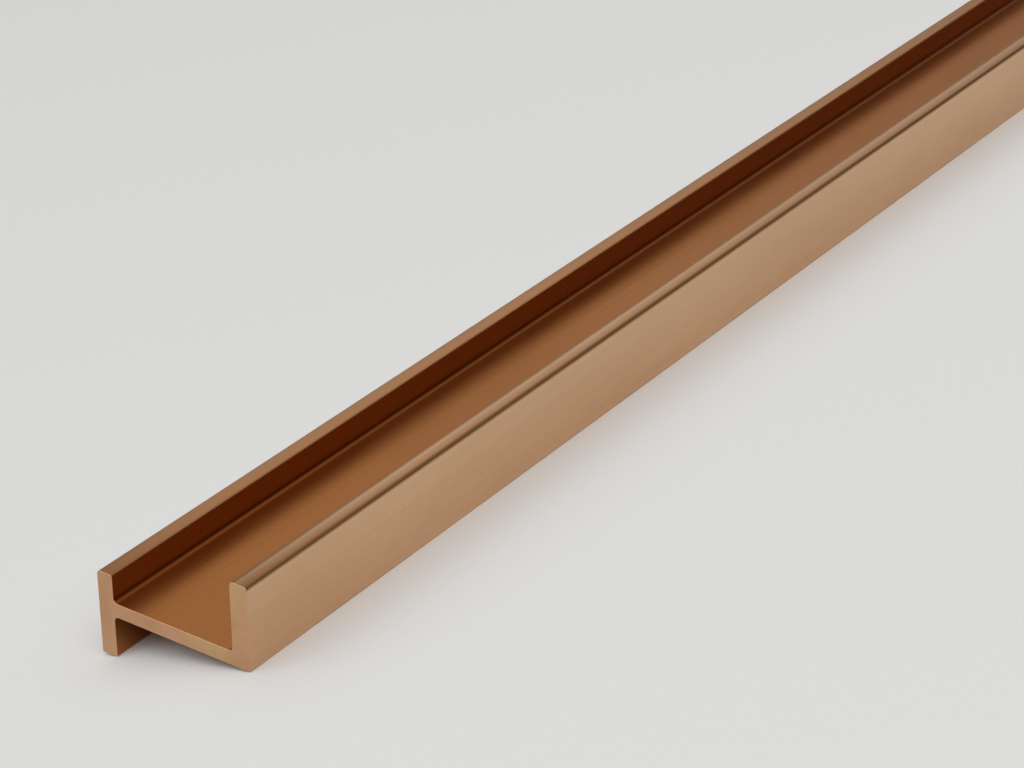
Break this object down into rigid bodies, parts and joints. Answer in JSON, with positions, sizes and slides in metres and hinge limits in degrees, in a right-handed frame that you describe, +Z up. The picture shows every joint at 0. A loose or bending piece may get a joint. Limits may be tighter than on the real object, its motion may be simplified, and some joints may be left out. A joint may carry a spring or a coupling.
{
  "type": "copper busbar profile",
  "caption": "Straight length of drawn copper busbar profile: a flat web between two upright flanges, one set lower than the other, forming an open channel.",
  "frame": {"origin": "centre of the bottom of the bounding box, halfway along the bar, at the level that its two flange feet rest on", "axes": "+X along the bar, +Z up as it lies at rest, -Y the side of the tall flange; the section is tilted about X by its rest angle of 15.5 degrees"},
  "size_m": [1, 0.0578, 0.0252],
  "materials": {
    "copper": "satin drawn copper, bare"
  },
  "bodies": {
    "root": {"busbar": "copper"}
  },
  "joints": []
}
